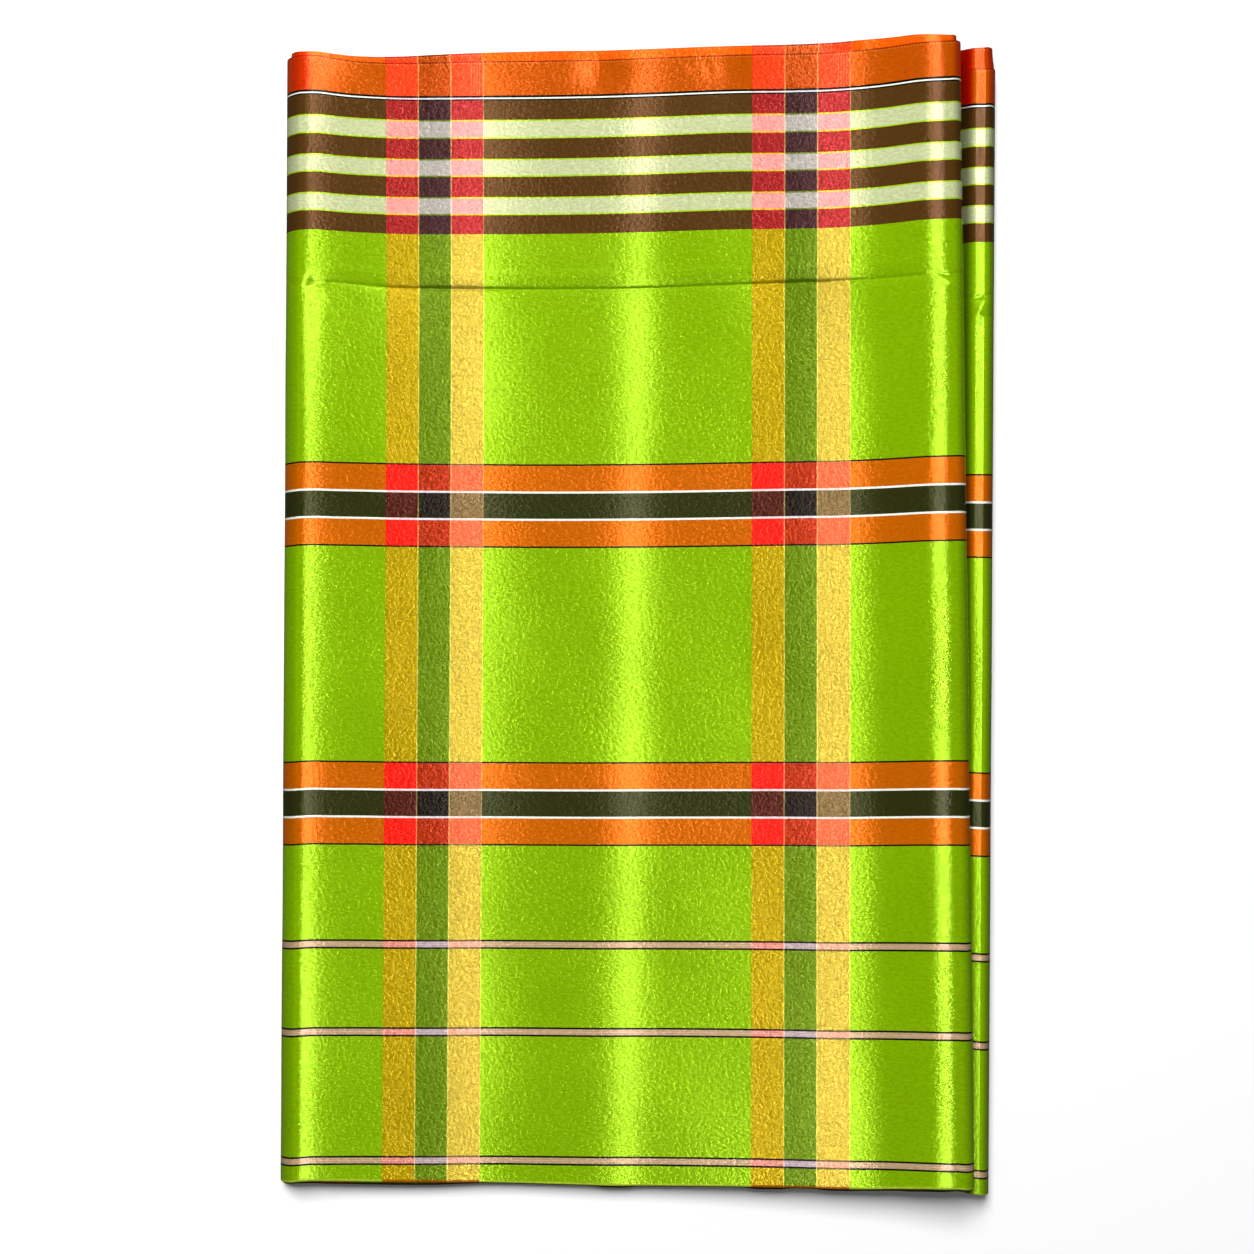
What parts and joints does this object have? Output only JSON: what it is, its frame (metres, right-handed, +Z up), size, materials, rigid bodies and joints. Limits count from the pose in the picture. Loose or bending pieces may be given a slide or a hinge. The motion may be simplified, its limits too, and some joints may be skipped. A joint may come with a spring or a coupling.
{
  "type": "longyi sarong",
  "caption": "Checked satin longyi length folded flat into a tall packet, selvedges along the top edge, centre fold along the bottom, and two soft rolls down the right side.",
  "frame": {"origin": "bottom centre of the folded packet's bounding box, on the surface that it lies on", "axes": "+X to the rolled right side, +Y to the selvedges at the top edge, +Z up from the surface"},
  "size_m": [0.3499, 0.5608, 0.0282],
  "materials": {
    "checked_satin": "satin weave, pressed and shiny, lime green with woven orange, brown, white and yellow stripes",
    "satin_border": "satin weave, orange shot with red",
    "plies_between": "satin weave, the same cloth seen at its edges"
  },
  "bodies": {
    "root": {"front_outer_half": "checked_satin", "front_inner_half": "satin_border", "back_outer_half": "checked_satin", "back_inner_half": "satin_border", "hidden_layers": "plies_between"}
  },
  "joints": []
}
